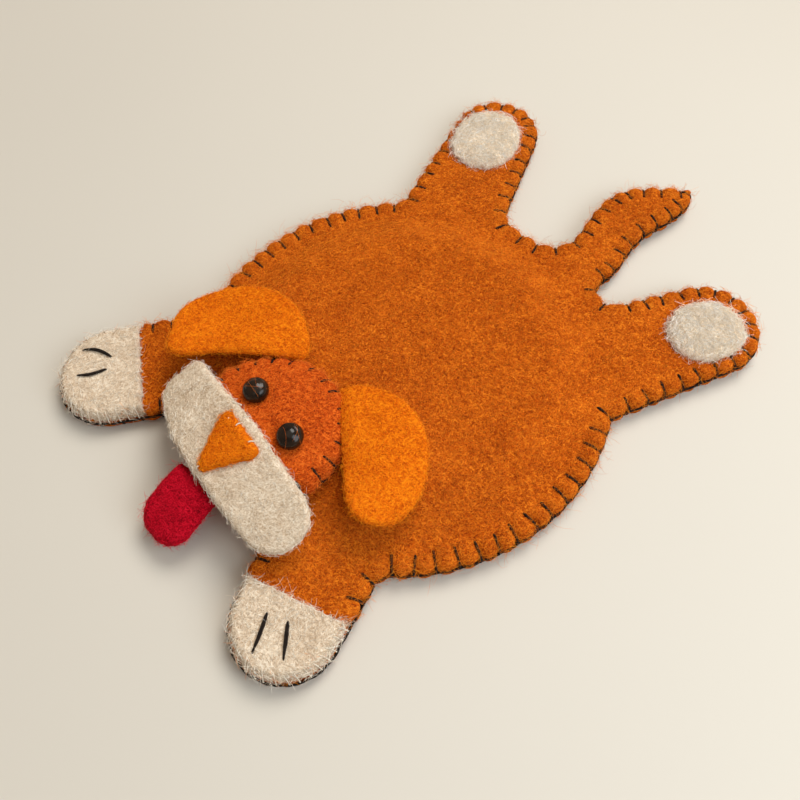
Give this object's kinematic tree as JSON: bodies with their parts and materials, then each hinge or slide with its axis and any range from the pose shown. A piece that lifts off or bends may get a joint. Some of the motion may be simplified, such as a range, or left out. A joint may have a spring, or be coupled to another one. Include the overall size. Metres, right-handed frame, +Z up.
{
  "type": "hand puppet",
  "caption": "Flat felt dog hand puppet lying splayed, with blanket-stitched rim, small stuffed head, floppy felt ears, muzzle, tongue, bead eyes, paw patches and a slit for the hand underneath.",
  "frame": {"origin": "middle of the round belly, on the underside of the belly panel", "axes": "+Z up out of the back, +Y towards the tail, -Y towards the head, +X towards the dog's left"},
  "size_m": [0.1225, 0.1831, 0.0235],
  "materials": {
    "orange_felt": "needle-punched wool felt, burnt orange",
    "rust_felt": "needle-punched wool felt, rust orange",
    "bright_orange_felt": "needle-punched wool felt, bright orange",
    "white_felt": "needle-punched wool felt, cream white",
    "red_felt": "needle-punched wool felt, crimson",
    "black_thread": "twisted cotton sewing thread, black brown",
    "white_thread": "cotton sewing thread, white",
    "fibre_filling": "loose polyester filling",
    "bead": "glossy round bead, black"
  },
  "bodies": {
    "torso": {"back_panel": "orange_felt", "belly_panel": "orange_felt", "rim_stitch": "black_thread", "hand_slit_stitch": "black_thread", "neck_stitch": "black_thread"},
    "head": {"face_panel": "rust_felt", "head_back_panel": "rust_felt", "head_stuffing": "fibre_filling", "head_seam_stitch": "black_thread", "left_eye": "bead", "right_eye": "bead", "muzzle": "white_felt", "muzzle_stitch": "white_thread", "nose": "bright_orange_felt", "nose_stitch": "white_thread"},
    "left_ear": {"left_ear": "bright_orange_felt"},
    "right_ear": {"right_ear": "bright_orange_felt"},
    "tongue": {"tongue": "red_felt"},
    "left_arm": {"back_panel_left_arm": "orange_felt", "belly_panel_left_arm": "orange_felt", "left_arm_stitch": "black_thread", "left_paw_cover": "white_felt", "left_paw_stitch": "white_thread", "left_claw_stitch": "black_thread"},
    "right_arm": {"back_panel_right_arm": "orange_felt", "belly_panel_right_arm": "orange_felt", "right_arm_stitch": "black_thread", "right_paw_cover": "white_felt", "right_paw_stitch": "white_thread", "right_claw_stitch": "black_thread"},
    "left_leg": {"back_panel_left_leg": "orange_felt", "belly_panel_left_leg": "orange_felt", "left_leg_stitch": "black_thread", "left_foot_pad": "white_felt"},
    "right_leg": {"back_panel_right_leg": "orange_felt", "belly_panel_right_leg": "orange_felt", "right_leg_stitch": "black_thread", "right_foot_pad": "white_felt"},
    "tail": {"back_panel_tail": "orange_felt", "belly_panel_tail": "orange_felt", "tail_stitch": "black_thread"}
  },
  "joints": [
    {"name": "head_nod", "type": "hinge", "parent": "torso", "child": "head", "pos_m": [0, -0.015, 0.01105], "axis": [-1, 0, 0], "range_deg": [0, 25], "stiffness_Nm_per_rad": 0.006},
    {"name": "left_arm_flex", "type": "hinge", "parent": "torso", "child": "left_arm", "pos_m": [0.03458, -0.05194, 0.0028], "axis": [-0.8324, -0.5541, 0], "range_deg": [-35, 48], "stiffness_Nm_per_rad": 0.01},
    {"name": "left_leg_flex", "type": "hinge", "parent": "torso", "child": "left_leg", "pos_m": [0.03547, 0.05134, 0.0028], "axis": [0.8228, -0.5684, 0], "range_deg": [-35, 55], "stiffness_Nm_per_rad": 0.01},
    {"name": "tail_flex", "type": "hinge", "parent": "torso", "child": "tail", "pos_m": [0.0048, 0.0632, 0.0028], "axis": [1, 0, 0], "range_deg": [-35, 55], "stiffness_Nm_per_rad": 0.006},
    {"name": "right_leg_flex", "type": "hinge", "parent": "torso", "child": "right_leg", "pos_m": [-0.03714, 0.05014, 0.0028], "axis": [0.8035, 0.5953, 0], "range_deg": [-35, 55], "stiffness_Nm_per_rad": 0.01},
    {"name": "right_arm_flex", "type": "hinge", "parent": "torso", "child": "right_arm", "pos_m": [-0.03919, -0.04856, 0.0028], "axis": [-0.7782, 0.628, 0], "range_deg": [-35, 48], "stiffness_Nm_per_rad": 0.01},
    {"name": "left_ear_flap", "type": "hinge", "parent": "head", "child": "left_ear", "pos_m": [0.01053, -0.02064, 0.0154], "axis": [0.8572, -0.515, 0], "range_deg": [-8, 95], "stiffness_Nm_per_rad": 0.002},
    {"name": "right_ear_flap", "type": "hinge", "parent": "head", "child": "right_ear", "pos_m": [-0.01689, -0.0245, 0.0154], "axis": [0.682, 0.7314, 0], "range_deg": [-8, 95], "stiffness_Nm_per_rad": 0.002},
    {"name": "tongue_flap", "type": "hinge", "parent": "head", "child": "tongue", "pos_m": [-0.0008, -0.0617, 0.0116], "axis": [-0.9903, -0.1392, 0], "range_deg": [-20, 30], "stiffness_Nm_per_rad": 0.001}
  ]
}
